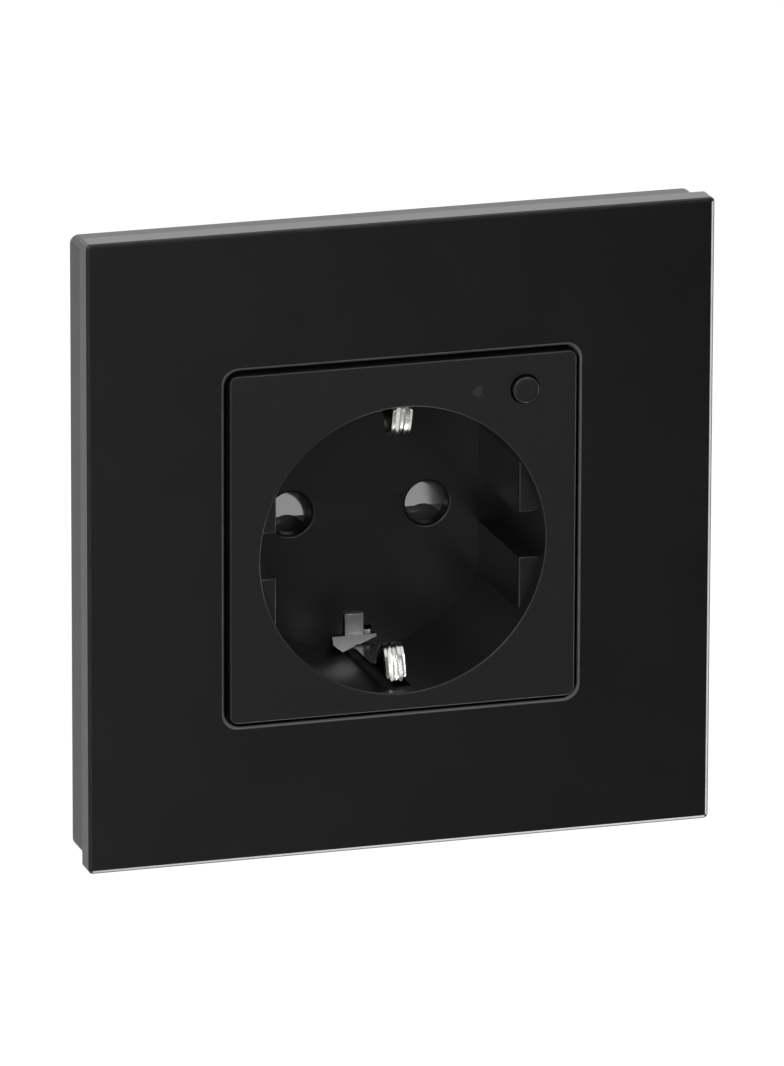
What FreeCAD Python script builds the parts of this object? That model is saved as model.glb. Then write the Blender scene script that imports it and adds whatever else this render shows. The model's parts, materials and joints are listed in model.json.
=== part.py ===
import FreeCAD, Part
import math
import os
import re
import Sketcher
from FreeCAD import Vector

# Flush-mounted smart wall socket: two round pins with side earth clips, an 86 mm square glass
# front, a push button and a status light, and the switching electronics behind it in a drum
# that fits a 60 mm wall box.
# Frame: X to the right seen from the room, Y into the wall, Z up, origin on the finished wall
# in the middle of the line through the two box screws. The room is on the -Y side. Units mm.

doc = FreeCAD.newDocument("smart_socket")
sheet = doc.addObject("Spreadsheet::Sheet", "Sizes")

SIZES = (
    # glass front and the moulded frame it is bonded to
    ("panel_wide", 86.0),
    ("panel_tall", 86.0),
    ("panel_thick", 3.45),
    ("panel_corner", 0.6),
    ("panel_edge", 0.3),
    ("window", 48.8),
    ("window_corner", 2.2),
    ("frame_inset", 0.35),
    ("frame_inset_top", 1.05),
    ("frame_deep", 6.2),
    ("frame_wall", 2.0),
    ("frame_face", 1.8),
    ("tape_thick", 0.4),
    # socket cover: square plate, round recess, guide blocks
    ("cover_gap", 0.6),
    ("cover_proud", 0.65),
    ("cover_corner", 1.1),
    ("cover_face", 2.0),
    ("cover_wall", 1.5),
    ("cup_bore", 19.85),
    ("cup_deep", 20.3),
    ("cup_round", 0.25),
    ("cup_drop", 1.8),
    ("cup_wall", 1.5),
    ("cup_floor", 2.0),
    ("pin_pitch", 19.0),
    ("pin_bore", 3.0),
    ("pin_lead", 0.4),
    ("guide_deep", 3.15),
    ("guide_set", 2.5),
    ("guide_gap", 6.1),
    ("slot_half_top", 4.1),
    ("slot_half_low", 1.9),
    # push button and status light
    ("button_side", 16.7),
    ("button_up", 19.0),
    ("button_bore", 2.0),
    ("button_play", 0.2),
    ("button_proud", 0.6),
    ("button_travel", 0.5),
    ("light_side", 10.3),
    ("light_bore", 0.75),
    # steel plate
    ("steel_thick", 1.2),
    ("steel_wide", 70.0),
    ("box_pitch", 60.0),
    ("box_slot", 1.8),
    ("box_slot_run", 0.7),
    ("ring_pitch", 25.9),
    # drum
    ("drum_outer", 27.5),
    ("drum_wall", 1.6),
    ("board_front", 30.8),
    ("board_thick", 1.6),
    ("turret_deep", 6.3),
    # contacts, shutter and earth
    ("leaf_thick", 0.6),
    ("leaf_gap", 4.2),
    ("shutter_thick", 2.0),
    ("shutter_half", 3.6),
    ("shutter_travel", 6.8),
    ("clip_wide", 3.0),
    ("clip_side", 0.8),
    ("foot_side", 0.8),
    ("strap_thick", 0.7),
    ("free_play", 0.2),
)
for row, (name, value) in enumerate(SIZES, 1):
    sheet.set("A%d" % row, name)
    sheet.set("B%d" % row, "%g" % value)
    sheet.setAlias("B%d" % row, name)

# stations along Y and other lengths that follow from the sizes above
DERIVED = (
    ("glass_front", "=-(frame_deep + panel_thick)"),
    ("cover_front", "=-(frame_deep + panel_thick + cover_proud)"),
    ("cover_half", "=window / 2 - cover_gap"),
    ("cup_base", "=cup_deep - frame_deep - panel_thick - cover_proud"),
    ("cup_back", "=cup_base + cup_floor"),
    ("shut_front", "=cup_back + free_play"),
    ("shut_back", "=shut_front + shutter_thick"),
    ("holder_front", "=shut_back + free_play"),
    ("holder_back", "=holder_front + 1.8"),
    ("drum_inner", "=drum_outer - drum_wall"),
    ("board_back", "=board_front + board_thick"),
    ("drum_back", "=board_back + drum_wall"),
    ("turret_back", "=drum_back + turret_deep"),
    ("cup_outer", "=cup_bore + cup_wall"),
    ("guide_inner", "=cup_bore - guide_deep"),
    ("small_front", "=-steel_thick - 2.7"),
    ("small_back", "=-steel_thick - 1.5"),
    ("clamp_side", "=pin_pitch / 2 + 7.5"),
)
for row, (name, value) in enumerate(DERIVED, len(SIZES) + 1):
    sheet.set("A%d" % row, name)
    sheet.set("B%d" % row, value)
    sheet.setAlias("B%d" % row, name)
doc.recompute()

FUNCTIONS = ("sin", "cos", "sqrt")
PLANES = {"XZ": "XZ_Plane", "YZ": "YZ_Plane", "XY": "XY_Plane"}
C = Sketcher.Constraint
made = []


def bind(text):
    """The text with every size name written as a cell of the sheet."""
    def one(match):
        word = match.group()
        return word if word in FUNCTIONS else "Sizes." + word
    return re.sub(r"[a-z_]+", one, str(text))


def now(text):
    """The present value of an expression written in size names."""
    return float(sheet.evalExpression(bind(text)))


def body(label):
    """A new PartDesign body for one sub-part."""
    item = doc.addObject("PartDesign::Body", label)
    item.Label = label
    item.AllowCompound = True
    made.append(item)
    return item


def pin(sketch, geo, pos, x, y):
    """Hold one point of a sketch at bound distances from the sketch origin."""
    for kind, axis, text in (("DistanceX", -2, x), ("DistanceY", -1, y)):
        if str(text) == "0":
            sketch.addConstraint(C("PointOnObject", geo, pos, axis))
        else:
            index = sketch.addConstraint(C(kind, -1, 1, geo, pos, now(text)))
            sketch.setExpression("Constraints[%d]" % index, bind(text))


def level(sketch, geo, pos, x=None, y=None):
    """Hold one coordinate of a point at a bound distance from the sketch origin."""
    for kind, text in (("DistanceX", x), ("DistanceY", y)):
        if text is not None:
            index = sketch.addConstraint(C(kind, -1, 1, geo, pos, now(text)))
            sketch.setExpression("Constraints[%d]" % index, bind(text))


def circle(sketch, x, y, r):
    geo = sketch.addGeometry(Part.Circle(Vector(now(x), now(y), 0), Vector(0, 0, 1), now(r)), False)
    pin(sketch, geo, 3, x, y)
    index = sketch.addConstraint(C("Radius", geo, now(r)))
    sketch.setExpression("Constraints[%d]" % index, bind(r))


def poly(sketch, points):
    spots = [Vector(now(x), now(y), 0) for x, y in points]
    count = len(spots)
    geos = [sketch.addGeometry(Part.LineSegment(spots[k], spots[(k + 1) % count]), False)
            for k in range(count)]
    for k in range(count):
        sketch.addConstraint(C("Coincident", geos[k], 2, geos[(k + 1) % count], 1))
        pin(sketch, geos[k], 1, points[k][0], points[k][1])


def rect(sketch, x0, x1, y0, y1, r=None):
    """A rectangle between bound sides, with bound corner radius when one is given."""
    if r is None:
        poly(sketch, ((x0, y0), (x1, y0), (x1, y1), (x0, y1)))
        return
    a, b, c, d, q = now(x0), now(x1), now(y0), now(y1), now(r)
    ends = ((a + q, c), (b - q, c), (b, c + q), (b, d - q), (b - q, d), (a + q, d), (a, d - q), (a, c + q))
    hubs = ((b - q, c + q), (b - q, d - q), (a + q, d - q), (a + q, c + q))
    lines = []
    arcs = []
    for k in range(4):
        start = Vector(ends[2 * k][0], ends[2 * k][1], 0)
        stop = Vector(ends[2 * k + 1][0], ends[2 * k + 1][1], 0)
        lines.append(sketch.addGeometry(Part.LineSegment(start, stop), False))
    for k in range(4):
        ring = Part.Circle(Vector(hubs[k][0], hubs[k][1], 0), Vector(0, 0, 1), q)
        turn = math.radians(90 * k - 90)
        arcs.append(sketch.addGeometry(Part.ArcOfCircle(ring, turn, turn + math.pi / 2), False))
    for k in range(4):
        sketch.addConstraint(C("Tangent", lines[k], 2, arcs[k], 1))
        sketch.addConstraint(C("Tangent", arcs[k], 2, lines[(k + 1) % 4], 1))
        sketch.addConstraint(C("Vertical" if k % 2 else "Horizontal", lines[k]))
        if k:
            sketch.addConstraint(C("Equal", arcs[0], arcs[k]))
    index = sketch.addConstraint(C("Radius", arcs[0], q))
    sketch.setExpression("Constraints[%d]" % index, bind(r))
    level(sketch, lines[0], 1, y=y0)
    level(sketch, lines[1], 1, x=x1)
    level(sketch, lines[2], 1, y=y1)
    level(sketch, lines[3], 1, x=x0)


def slot(sketch, x, y, run, r, upright):
    """A slot with half-round ends: the end centres stand run either side of the middle."""
    a, b, reach, q = now(x), now(y), now(run), now(r)
    dx, dy = (0, reach) if upright else (reach, 0)
    turn = math.pi / 2 if upright else 0
    arcs = []
    for side in (1, -1):
        ring = Part.Circle(Vector(a + side * dx, b + side * dy, 0), Vector(0, 0, 1), q)
        start = turn - side * math.pi / 2
        arcs.append(sketch.addGeometry(Part.ArcOfCircle(ring, start, start + math.pi), False))
    for near, far in ((0, 1), (1, 0)):
        sides = sketch.Geometry
        line = Part.LineSegment(sides[arcs[near]].EndPoint, sides[arcs[far]].StartPoint)
        flank = sketch.addGeometry(line, False)
        sketch.addConstraint(C("Tangent", arcs[near], 2, flank, 1))
        sketch.addConstraint(C("Tangent", flank, 2, arcs[far], 1))
    sketch.addConstraint(C("Equal", arcs[0], arcs[1]))
    index = sketch.addConstraint(C("Radius", arcs[0], q))
    sketch.setExpression("Constraints[%d]" % index, bind(r))
    for arc, sign in ((arcs[0], "+"), (arcs[1], "-")):
        move = "%s %s (%s)" % (y if upright else x, sign, run)
        pin(sketch, arc, 3, x if upright else move, move if upright else y)


def sketch_on(item, plane, station, outlines):
    """A sketch on one of the body's origin planes, moved to a bound station."""
    face = [f for f in item.Origin.OriginFeatures if f.Role == PLANES[plane]][0]
    sketch = item.newObject("Sketcher::SketchObject", "outline")
    sketch.AttachmentSupport = [(face, "")]
    sketch.MapMode = "FlatFace"
    sketch.setExpression("AttachmentOffset.Base.z", bind(station))
    for shape in outlines:
        {"rect": rect, "circle": circle, "poly": poly, "slot": slot}[shape[0]](sketch, *shape[1:])
    sketch.Visibility = False
    return sketch


def add(item, plane, low, high, *outlines):
    """Pad the outlines from station low to station high."""
    sketch = sketch_on(item, plane, "-(%s)" % high if plane == "XZ" else low, outlines)
    pad = item.newObject("PartDesign::Pad", "pad")
    pad.Profile = sketch
    pad.setExpression("Length", bind("(%s) - (%s)" % (high, low)))
    doc.recompute()


def cut(item, plane, low, high, *outlines):
    """Pocket the outlines from station low to station high."""
    before = item.Shape.Volume
    sketch = sketch_on(item, plane, "-(%s)" % low if plane == "XZ" else high, outlines)
    pocket = item.newObject("PartDesign::Pocket", "pocket")
    pocket.Profile = sketch
    pocket.setExpression("Length", bind("(%s) - (%s)" % (high, low)))
    doc.recompute()
    if not item.Shape.Volume < before - 1e-6:
        raise RuntimeError("a pocket in %s took nothing away" % item.Label)


def edge_names(item, wanted):
    """Names of the edges whose bounding box passes the test."""
    return ["Edge%d" % n for n, edge in enumerate(item.Shape.Edges, 1) if wanted(edge.BoundBox)]


def bevel(item, size, wanted, kind="Chamfer"):
    """Chamfer or round the chosen edges of the body's tip by a bound size."""
    names = edge_names(item, wanted)
    last = item.Tip
    feature = item.newObject("PartDesign::" + kind, kind.lower())
    feature.Base = (last, names)
    feature.setExpression("Size" if kind == "Chamfer" else "Radius", bind(size))
    doc.recompute()


def flat_at(y):
    """Edges lying in the plane Y = y."""
    return lambda box: abs(box.YMin - y) < 1e-4 and abs(box.YMax - y) < 1e-4


# glass panel with a ground outer edge and a ground window edge
glass = body("glass_panel")
add(glass, "XZ", "glass_front", "-frame_deep",
    ("rect", "-panel_wide / 2", "panel_wide / 2", "-panel_tall / 2", "panel_tall / 2", "panel_corner"),
    ("rect", "-window / 2", "window / 2", "-window / 2", "window / 2", "window_corner"))
bevel(glass, "panel_edge", flat_at(now("glass_front")))

# foam tape ring that bonds the glass to the frame, in a channel of its own
tape = body("panel_tape")
add(tape, "XZ", "-frame_deep", "-frame_deep + tape_thick",
    ("rect", "-panel_wide / 2 + 3", "panel_wide / 2 - 3", "-panel_tall / 2 + 3", "panel_tall / 2 - 3", "1"),
    ("rect", "-window / 2 - 2", "window / 2 + 2", "-window / 2 - 2", "window / 2 + 2", "1"))

# moulded frame behind the glass: outer rim, face, window wall and four tongues for the steel plate
frame = body("frame_carrier")
FX = "panel_wide / 2 - frame_inset"
FZ = "panel_tall / 2 - frame_inset_top"
add(frame, "XZ", "-frame_deep", "0", ("rect", "-(%s)" % FX, FX, "-(%s)" % FZ, FZ, "1.2"))
cut(frame, "XZ", "-frame_deep", "0",
    ("rect", "-window / 2 - 0.1", "window / 2 + 0.1", "-window / 2 - 0.1", "window / 2 + 0.1", "window_corner"))
cut(frame, "XZ", "-frame_deep", "-frame_deep + tape_thick + 0.05",
    ("rect", "-panel_wide / 2 + 2.7", "panel_wide / 2 - 2.7", "-panel_tall / 2 + 2.7",
     "panel_tall / 2 - 2.7", "1"),
    ("rect", "-window / 2 - 1.7", "window / 2 + 1.7", "-window / 2 - 1.7", "window / 2 + 1.7", "1"))
cut(frame, "XZ", "-frame_deep + frame_face", "0",
    ("rect", "-(%s) + frame_wall" % FX, "%s - frame_wall" % FX, "-(%s) + frame_wall" % FZ,
     "%s - frame_wall" % FZ, "1"),
    ("rect", "-window / 2 - 1.6", "window / 2 + 1.6", "-window / 2 - 1.6", "window / 2 + 1.6", "2"))
cut(frame, "XZ", "-steel_thick - 1.7", "0",
    ("rect", "-window / 2 - 2", "window / 2 + 2", "-window / 2 - 2", "window / 2 + 2", "2"))
for sx in ("", "-"):
    for sz in ("", "-"):
        xs = ("steel_wide / 2 - 2", "steel_wide / 2 - 0.9")
        zs = ("16", "20")
        add(frame, "XZ", "-frame_deep + frame_face - 0.01", "-0.2",
            ("rect", *sorted([sx + "(%s)" % t for t in xs], key=now),
             *sorted([sz + t for t in zs], key=now)))

# steel plate on the wall, with slots for the box screws on both lines
steel = body("mounting_plate")
HALF = "steel_wide / 2"
add(steel, "XZ", "-steel_thick", "0", ("rect", "-" + HALF, HALF, "-" + HALF, HALF, "3"))
cut(steel, "XZ", "-steel_thick", "0", ("circle", "0", "-cup_drop", "cup_outer + 0.4"))
cut(steel, "XZ", "-steel_thick", "0", ("rect", "-14.6", "-5.4", "18.8", "22"))
for sx, sz in ((1, 0), (-1, 0), (0, 1), (0, -1)):
    at = ("%d * ring_pitch" % sx if sx else "0", "%d * ring_pitch" % sz if sz else "0")
    cut(steel, "XZ", "-steel_thick", "0", ("circle", at[0], at[1], "1.1"))
    mid = ("%d * box_pitch / 2" % sx if sx else "0", "%d * box_pitch / 2" % sz if sz else "0")
    cut(steel, "XZ", "-steel_thick", "0", ("slot", mid[0], mid[1], "box_slot_run", "box_slot", bool(sz)))
for sx in ("", "-"):
    for sz in ("", "-"):
        xs = ("steel_wide / 2 - 2.3", "steel_wide / 2 - 0.6")
        zs = ("15.6", "20.4")
        cut(steel, "XZ", "-steel_thick", "0",
            ("rect", *sorted([sx + "(%s)" % t for t in xs], key=now),
             *sorted([sz + t for t in zs], key=now)))

# four thread-forming screws that hold the steel plate to the drum
ring = [("ring_pitch", "0"), ("-ring_pitch", "0"), ("0", "ring_pitch"), ("0", "-ring_pitch")]
screws = body("plate_screws")
add(screws, "XZ", "-steel_thick - 1.2", "-steel_thick", *[("circle", x, z, "1.75") for x, z in ring])
add(screws, "XZ", "-steel_thick - 0.01", "6", *[("circle", x, z, "0.9") for x, z in ring])
cut(screws, "XZ", "-steel_thick - 1.2", "-steel_thick - 0.6",
    *[("rect", x + " - 1", x + " + 1", z + " - 0.2", z + " + 0.2") for x, z in ring])

# socket cover: plate and skirt, recess, guide blocks, openings
cover = body("socket_cover")
W = "cover_half"
add(cover, "XZ", "cover_front", "-steel_thick", ("rect", "-" + W, W, "-" + W, W, "cover_corner"))
bevel(cover, "0.3", flat_at(now("cover_front")), "Fillet")
cut(cover, "XZ", "cover_front + cover_face", "-steel_thick",
    ("rect", "-cover_half + cover_wall", "cover_half - cover_wall", "-cover_half + cover_wall",
     "cover_half - cover_wall", "0.8"))
add(cover, "XZ", "cover_front + cover_face - 0.01", "cup_back", ("circle", "0", "-cup_drop", "cup_outer"))
cut(cover, "XZ", "cover_front", "cup_base", ("circle", "0", "-cup_drop", "cup_bore - cup_round"))
bevel(cover, "cup_round", lambda box: flat_at(now("cover_front"))(box) and box.XLength > 30
      and box.ZLength > 30 and abs(box.XMax - now("cup_bore - cup_round")) < 0.01, "Fillet")
for sx in (1, -1):
    for sz in (1, -1):
        corners = (("guide_inner", "guide_gap / 2"), ("(cup_bore + 0.55) * cos(9)", "guide_gap / 2"),
                   ("(cup_bore + 0.55) * cos(20)", "(cup_bore + 0.55) * sin(20)"),
                   ("guide_inner", "(cup_bore + 0.55) * sin(35)"))
        add(cover, "XZ", "cover_front + guide_set", "cup_base + 0.01",
            ("poly", [("%d * (%s)" % (sx, x), "%d * (%s) - cup_drop" % (sz, z)) for x, z in corners]))
holes = [("pin_pitch / 2", "-cup_drop"), ("-pin_pitch / 2", "-cup_drop")]
cut(cover, "XZ", "cup_base", "cup_back", *[("circle", x, z, "pin_bore") for x, z in holes])
bevel(cover, "pin_lead", lambda box: flat_at(now("cup_base"))(box) and box.XLength < 7
      and box.ZLength > 5 and abs(abs(box.Center.x) - now("pin_pitch / 2")) < 0.1)
# earth slots in the wall of the recess and through its floor
for sz in (1, -1):
    zs = sorted(["%d * (cup_bore - 1.45) - cup_drop" % sz, "%d * (cup_bore + 1.05) - cup_drop" % sz], key=now)
    half = "slot_half_top" if sz > 0 else "slot_half_low"
    cut(cover, "XZ", "cover_front + guide_set", "cup_base", ("rect", "-" + half, half, *zs))
    zs = sorted(["%d * (cup_bore - 3.55) - cup_drop" % sz, "%d * (cup_bore - 1.75) - cup_drop" % sz], key=now)
    cut(cover, "XZ", "cup_base", "cup_back",
        ("rect", "-clip_wide / 2 - 0.2", "clip_wide / 2 + 0.2", *zs))
# behind the floor: screw bosses for the contact holder, shutter rails and the spring seat
add(cover, "XZ", "cup_back - 0.01", "holder_front",
    ("circle", "clamp_side", "-cup_drop", "2.2"), ("circle", "-clamp_side", "-cup_drop", "2.2"))
cut(cover, "XZ", "cup_back - 0.6", "holder_front",
    ("circle", "clamp_side", "-cup_drop", "0.9"), ("circle", "-clamp_side", "-cup_drop", "0.9"))
add(cover, "XZ", "cup_back - 0.01", "shut_back - 0.2",
    ("rect", "-2", "2", "-cup_drop - cup_bore + 3.85", "-cup_drop - cup_bore + 5.05"))
# button bore and light bore
cut(cover, "XZ", "cover_front", "cover_front + cover_face", ("circle", "button_side", "button_up", "button_bore"),
    ("circle", "light_side", "button_up", "light_bore"))

# push button: cap, flange behind the plate and stem
button = body("button_cap")
add(button, "XZ", "cover_front - button_proud", "cover_front + cover_face + free_play + 0.01",
    ("circle", "button_side", "button_up", "button_bore - button_play"))
add(button, "XZ", "cover_front + cover_face + free_play", "cover_front + cover_face + free_play + 0.8",
    ("circle", "button_side", "button_up", "2.6"))
add(button, "XZ", "cover_front + cover_face + free_play + 0.79", "small_front - 3",
    ("circle", "button_side", "button_up", "1.1"))
bevel(button, "0.25", flat_at(now("cover_front - button_proud")), "Fillet")

# sealed push switch on the small board, plunger and body
plunger = body("tact_plunger")
add(plunger, "XZ", "small_front - 2.95", "small_front - 1.4", ("circle", "button_side", "button_up", "1.15"))
tact = body("tact_switch")
add(tact, "XZ", "small_front - 2", "small_front",
    ("rect", "button_side - 2.4", "button_side + 2.4", "button_up - 2.4", "button_up + 2.4"))
cut(tact, "XZ", "small_front - 2", "small_front - 0.7", ("circle", "button_side", "button_up", "1.3"))

# light pipe and the status light under it
pipe = body("light_pipe")
add(pipe, "XZ", "cover_front + 0.15", "small_front - 0.8", ("circle", "light_side", "button_up", "light_bore - 0.05"))
add(pipe, "XZ", "cover_front + cover_face + 0.02", "cover_front + cover_face + 0.8",
    ("circle", "light_side", "button_up", "1.2"))
lamp = body("status_led")
add(lamp, "XZ", "small_front - 0.6", "small_front",
    ("rect", "light_side - 0.8", "light_side + 0.8", "button_up - 0.4", "button_up + 0.4"))

# small board behind the top of the cover, and the pin header down to the main board
small = body("front_board")
add(small, "XZ", "small_front", "small_back",
    ("rect", "-cover_half + cover_wall + 0.4", "cover_half - cover_wall - 0.4", "8",
     "cover_half - cover_wall - 0.4"))
cut(small, "XZ", "small_front", "small_back", ("circle", "0", "-cup_drop", "cup_outer + 0.6"))
cut(small, "XZ", "small_front", "small_back",
    *[("circle", str(x), "20.4", "0.5") for x in (-13, -11, -9, -7)])
header = body("board_header")
add(header, "XZ", "small_front - 1", "board_front - 0.05",
    *[("rect", "%g - 0.25" % x, "%g + 0.25" % x, "20.15", "20.65") for x in (-13, -11, -9, -7)])
add(header, "XZ", "small_back + 0.05", "small_back + 2.5", ("rect", "-14", "-6", "19.4", "21.4"))
add(header, "XZ", "board_front - 2.5", "board_front - 0.05", ("rect", "-14", "-6", "19.4", "21.4"))

# shutter that closes both pin holes, with a lead-in ramp at each, and its return spring
shutter = body("shutter")
add(shutter, "XZ", "shut_front", "shut_back",
    ("rect", "-pin_pitch / 2 - 4.3", "pin_pitch / 2 + 4.3", "-cup_drop - shutter_half",
     "-cup_drop + shutter_half", "0.8"))
for side in (1, -1):
    xs = sorted(["%d * (pin_pitch / 2 - 3.3)" % side, "%d * (pin_pitch / 2 + 3.3)" % side], key=now)
    cut(shutter, "YZ", xs[0], xs[1],
        ("poly", (("shut_front - 0.1", "-cup_drop - 2.2"), ("shut_back - 0.35", "-cup_drop + shutter_half + 0.1"),
                  ("shut_front - 0.1", "-cup_drop + shutter_half + 0.1"))))
coil_high = "cup_bore - 5.25 - shutter_half"
helix = doc.addObject("Part::Helix", "coil_path")
helix.setExpression("Height", bind("%s - 0.4" % coil_high))
helix.setExpression("Pitch", bind("(%s - 0.4) / 8" % coil_high))
helix.Radius = 0.7
wire = doc.addObject("Part::Circle", "coil_wire")
wire.Radius = 0.11
wire.Placement = FreeCAD.Placement(Vector(0.7, 0, 0), FreeCAD.Rotation(Vector(1, 0, 0), 90))
spring = doc.addObject("Part::Sweep", "shutter_spring")
spring.Sections = [wire]
spring.Spine = (helix, ["Edge1"])
spring.Solid = True
spring.Frenet = True
spring.setExpression("Placement.Base.y", bind("(shut_front + shut_back) / 2"))
spring.setExpression("Placement.Base.z", bind("-cup_drop - cup_bore + 5.25"))
doc.recompute()
made.append(spring)

# earth clips with their feet, and the strap that joins them to the earth terminal
for label, s in (("top", 1), ("bottom", -1)):
    clip = body("earth_clip_" + label)
    strip = (("cover_front + 3.4", 0.9), ("cover_front + 4.6", 4.4), ("cover_front + 5.2", 4.95),
             ("cover_front + 6.0", 4.75), ("cover_front + 7.7", 2.0), ("cover_front + 9.6", 1.25),
             ("cup_base - 0.8", 1.2), ("cup_base - 0.8", 0.6), ("cover_front + 9.3", 0.65),
             ("cover_front + 7.2", 1.6), ("cover_front + 5.75", 4.15), ("cover_front + 5.4", 4.3),
             ("cover_front + 5.1", 4.1), ("cover_front + 4.0", 0.75))
    side = "clip_side" if s > 0 else "0"
    add(clip, "YZ", side + " - clip_wide / 2", side + " + clip_wide / 2",
        ("poly", [(y, "%d * (cup_bore - %g) - cup_drop" % (s, z)) for y, z in strip]))
    foot = body("earth_foot_" + label)
    bend = (("cup_base - 0.6", 3.05), ("cup_base - 0.6", 2.35), ("holder_front - 0.1", 2.35),
            ("holder_front - 0.1", 3.25), ("cup_back + 1.5", 3.25), ("cup_back + 1.5", 3.05))
    add(foot, "YZ", "-clip_wide / 2", "clip_wide / 2",
        ("poly", [(y, "%d * (cup_bore - %g) - cup_drop" % (s, z)) for y, z in bend]))
    for half, low, high in (("3.1", 2.4, 0.9), ("1.3", 5.6, 2.3)):
        zs = sorted(["%d * (cup_bore - %g) - cup_drop" % (s, z) for z in (low, high)], key=now)
        add(foot, "XZ", "cup_base - 0.6", "cup_base - 0.02",
            ("rect", "-foot_side - " + half, "-foot_side + " + half, *zs))
strap = body("earth_strap")
add(strap, "XZ", "holder_front - 0.05", "holder_front - 0.05 + strap_thick",
    ("rect", "-3", "3", "-cup_drop - cup_bore + 1.25", "-cup_drop + cup_bore - 1.25", "0.8"))
add(strap, "XZ", "holder_front + 0.1", "board_front - 0.05",
    ("rect", "-1.5", "1.5", "-cup_drop - cup_bore + 1.35", "-cup_drop - cup_bore + 2.05"))

# contact holder with a tower round each pin contact
holder = body("contact_carrier")
add(holder, "XZ", "holder_front", "holder_back", ("circle", "0", "-cup_drop", "cup_outer - 1.35"))
for side in (1, -1):
    xs = sorted(["%d * (pin_pitch / 2 - 4.2)" % side, "%d * (pin_pitch / 2 + 4.2)" % side], key=now)
    add(holder, "XZ", "holder_back - 0.01", "board_front - 0.4",
        ("rect", xs[0], xs[1], "-cup_drop - 4.4", "-cup_drop + 4.4"))
    cut(holder, "XZ", "holder_back", "board_front - 0.4",
        ("rect", "%s + 0.9" % xs[0], "%s - 0.9" % xs[1], "-cup_drop - 3.5", "-cup_drop + 3.5"))
    cut(holder, "XZ", "holder_front", "holder_back",
        ("circle", "%d * pin_pitch / 2" % side, "-cup_drop", "pin_bore - 0.1"))
    cut(holder, "XZ", "holder_front", "holder_back", ("circle", "%d * clamp_side" % side, "-cup_drop", "1.2"))
cut(holder, "XZ", "holder_front", "holder_front + strap_thick + 0.1",
    ("rect", "-3.3", "3.3", "-cup_drop - cup_bore + 0.85", "-cup_drop + cup_bore - 0.85"))
cut(holder, "XZ", "holder_front", "holder_back",
    ("rect", "-1.8", "1.8", "-cup_drop - cup_bore + 0.95", "-cup_drop - cup_bore + 2.45"))

# two screws that hold the contact holder to the cover
clamp = body("carrier_screws")
spots = [("clamp_side", "-cup_drop"), ("-clamp_side", "-cup_drop")]
add(clamp, "XZ", "cup_back - 0.5", "holder_back + 0.01", *[("circle", x, z, "0.9") for x, z in spots])
add(clamp, "XZ", "holder_back", "holder_back + 1.3", *[("circle", x, z, "1.9") for x, z in spots])
cut(clamp, "XZ", "holder_back + 0.6", "holder_back + 1.3",
    *[("rect", x + " - 1.2", x + " + 1.2", z + " - 0.25", z + " + 0.25") for x, z in spots])

# pin contacts: two leaves that grip the pin, joined at the back, with a tail to the main board
for label, side in (("live_contact", 1), ("neutral_contact", -1)):
    contact = body(label)
    mid = "%d * pin_pitch / 2" % side
    back = "board_front - 0.8"
    leaf = (("-leaf_gap / 2 - leaf_thick", back), ("-leaf_gap / 2 - leaf_thick", "holder_back + 2.4"),
            ("-leaf_gap / 2 - leaf_thick - 0.4", "holder_back + 0.5"), ("-leaf_gap / 2 - 0.4", "holder_back + 0.5"),
            ("-leaf_gap / 2", "holder_back + 2.4"), ("-leaf_gap / 2", back + " - leaf_thick"),
            ("leaf_gap / 2", back + " - leaf_thick"), ("leaf_gap / 2", "holder_back + 2.4"),
            ("leaf_gap / 2 + 0.4", "holder_back + 0.5"), ("leaf_gap / 2 + leaf_thick + 0.4", "holder_back + 0.5"),
            ("leaf_gap / 2 + leaf_thick", "holder_back + 2.4"), ("leaf_gap / 2 + leaf_thick", back))
    add(contact, "XY", "-cup_drop - 2.9", "-cup_drop + 2.9",
        ("poly", [("%s + %s" % (mid, x), y) for x, y in leaf]))
    add(contact, "XZ", back + " - 0.01", "board_front - 0.05",
        ("rect", mid + " - 1", mid + " + 1", "-cup_drop - 0.4", "-cup_drop + 0.4"))

# drum for the wall box, with the terminal turret behind it
drum = body("rear_housing")
add(drum, "XZ", "0", "drum_back", ("circle", "0", "0", "drum_outer"))
add(drum, "XZ", "drum_back - 0.01", "turret_back", ("rect", "-18", "18", "-20", "16", "2.5"))
cut(drum, "XZ", "0", "board_back", ("circle", "0", "0", "drum_inner"))
cut(drum, "XZ", "board_back", "turret_back - drum_wall", ("rect", "-16.4", "16.4", "-18.4", "14.4", "1.5"))
add(drum, "XZ", "0", "8", *[("circle", x, z, "1.5") for x, z in ring])
cut(drum, "XZ", "0", "7.5", *[("circle", x, z, "0.9") for x, z in ring])
WAYS = (("live", "-9"), ("earth", "0"), ("neutral", "9"))
wire_y = "(drum_back + turret_back - drum_wall) / 2"
cut(drum, "XY", "-20", "-18.4", *[("circle", x, wire_y, "2.0") for label, x in WAYS])
cut(drum, "XZ", "turret_back - drum_wall", "turret_back", *[("circle", x, "-13.3", "2.3") for label, x in WAYS])

# main board and what stands on it
board = body("main_board")
add(board, "XZ", "board_front", "board_back - 0.05", ("circle", "0", "0", "drum_inner - 0.3"))

relay = body("relay")
add(relay, "XZ", "holder_back + 0.4", "board_front - 0.5", ("rect", "-9.5", "9.5", "5", "15.2", "0.8"))
add(relay, "XZ", "board_front - 0.51", "board_front - 0.05",
    *[("rect", "%g - 0.4" % x, "%g + 0.4" % x, "%g - 0.4" % z, "%g + 0.4" % z)
      for x in (-7.5, 7.5) for z in (7, 13)])

bulk = body("smoothing_capacitor")
add(bulk, "XZ", "board_front - 12.5", "board_front - 0.05", ("circle", "-12.2", "-13.2", "4"))
bevel(bulk, "0.5", flat_at(now("board_front - 12.5")), "Fillet")

film = body("film_capacitor")
add(film, "XZ", "board_front - 9.5", "board_front - 0.05", ("rect", "9", "16.4", "-17.4", "-9", "0.4"))

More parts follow.
